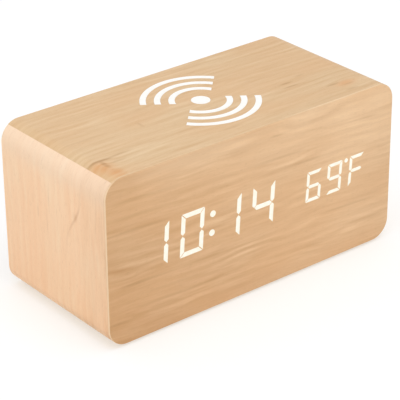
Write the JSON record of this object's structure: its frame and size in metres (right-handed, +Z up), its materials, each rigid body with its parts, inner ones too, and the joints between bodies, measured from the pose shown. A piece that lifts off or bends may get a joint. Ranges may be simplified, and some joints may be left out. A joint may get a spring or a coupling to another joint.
{
  "type": "wooden digital alarm clock",
  "caption": "Wooden block clock with lit time and temperature digits in its front, a charging pad in its top, and push buttons, a power socket and a reserve cell door in its back.",
  "frame": {"origin": "middle of the footprint, on the surface that the feet stand on", "axes": "+Z up, the display faces -Y, +X to the right of someone who reads the display"},
  "size_m": [0.15, 0.07, 0.074],
  "materials": {
    "front_wood": "pale oak veneer, straight grain along the width, clear satin",
    "board_wood": "pale oak, clear satin",
    "inner_wood": "plain fibre board, unfinished",
    "foot_rubber": "matte black rubber",
    "mark_white": "white inlay, satin",
    "lit_white": "lit from behind, warm white",
    "film_white": "milky film",
    "housing_white": "white moulded plastic",
    "light_chip": "yellow lens over a light chip",
    "circuit_green": "green lacquered circuit board",
    "chip_black": "black moulded plastic",
    "screw_steel": "zinc plated",
    "coil_copper": "enamelled copper wire",
    "ferrite_grey": "dark grey ferrite",
    "bracket_white": "white moulded plastic",
    "panel_black": "black moulded plastic, fine grain",
    "button_black": "black moulded plastic, satin",
    "plunger_white": "white moulded plastic",
    "switch_grey": "dark grey moulded plastic",
    "socket_steel": "plated steel",
    "tongue_black": "black moulded plastic",
    "sensor_amber": "amber resin bead on tinned legs",
    "contact_brass": "plated spring brass",
    "cable_white": "white flat cable",
    "plug_white": "ivory moulded plastic",
    "lead_black": "black sleeved wire"
  },
  "bodies": {
    "case": {"front_veneer": "front_wood", "front_board": "inner_wood", "top_board": "board_wood", "bottom_board": "board_wood", "left_board": "board_wood", "right_board": "board_wood", "corner_blocks": "inner_wood", "foot_pads": "foot_rubber", "charge_mark": "mark_white", "time_segments": "lit_white", "temperature_segments": "lit_white", "diffuser_film": "film_white", "digit_housing": "housing_white", "segment_leds": "light_chip", "led_board": "circuit_green", "display_driver": "chip_black", "display_screws": "screw_steel", "charge_coil": "coil_copper", "ferrite_sheet": "ferrite_grey", "charger_board": "circuit_green", "charger_parts": "chip_black", "charger_bracket": "bracket_white", "charger_screws": "screw_steel", "back_panel": "panel_black", "back_screws": "screw_steel", "switch_bodies": "switch_grey", "main_board": "circuit_green", "board_screws": "screw_steel", "usb_socket": "socket_steel", "usb_tongue": "tongue_black", "buzzer": "chip_black", "microphone": "socket_steel", "temperature_sensor": "sensor_amber", "cell_holder": "panel_black", "cell_contact": "contact_brass", "coin_cell": "socket_steel", "clock_chip": "chip_black", "quartz_crystal": "socket_steel", "display_ribbon": "cable_white", "ribbon_sockets": "plug_white", "charger_lead": "lead_black", "lead_sockets": "plug_white"},
    "set_key": {"set_button": "button_black", "set_plunger": "plunger_white"},
    "up_key": {"up_button": "button_black", "up_plunger": "plunger_white"},
    "down_key": {"down_button": "button_black", "down_plunger": "plunger_white"},
    "door": {"battery_door": "panel_black"}
  },
  "joints": [
    {"name": "set_press", "type": "slide", "parent": "case", "child": "set_key", "axis": [0, -1, 0], "range_m": [0, 0.0005], "stiffness_N_per_m": 2000},
    {"name": "up_press", "type": "slide", "parent": "case", "child": "up_key", "axis": [0, -1, 0], "range_m": [0, 0.0005], "stiffness_N_per_m": 2000},
    {"name": "down_press", "type": "slide", "parent": "case", "child": "down_key", "axis": [0, -1, 0], "range_m": [0, 0.0005], "stiffness_N_per_m": 2000},
    {"name": "door_swing", "type": "hinge", "parent": "case", "child": "door", "pos_m": [0.032, 0.0326, 0.0521], "axis": [1, 0, 0], "range_deg": [0, 90]}
  ]
}
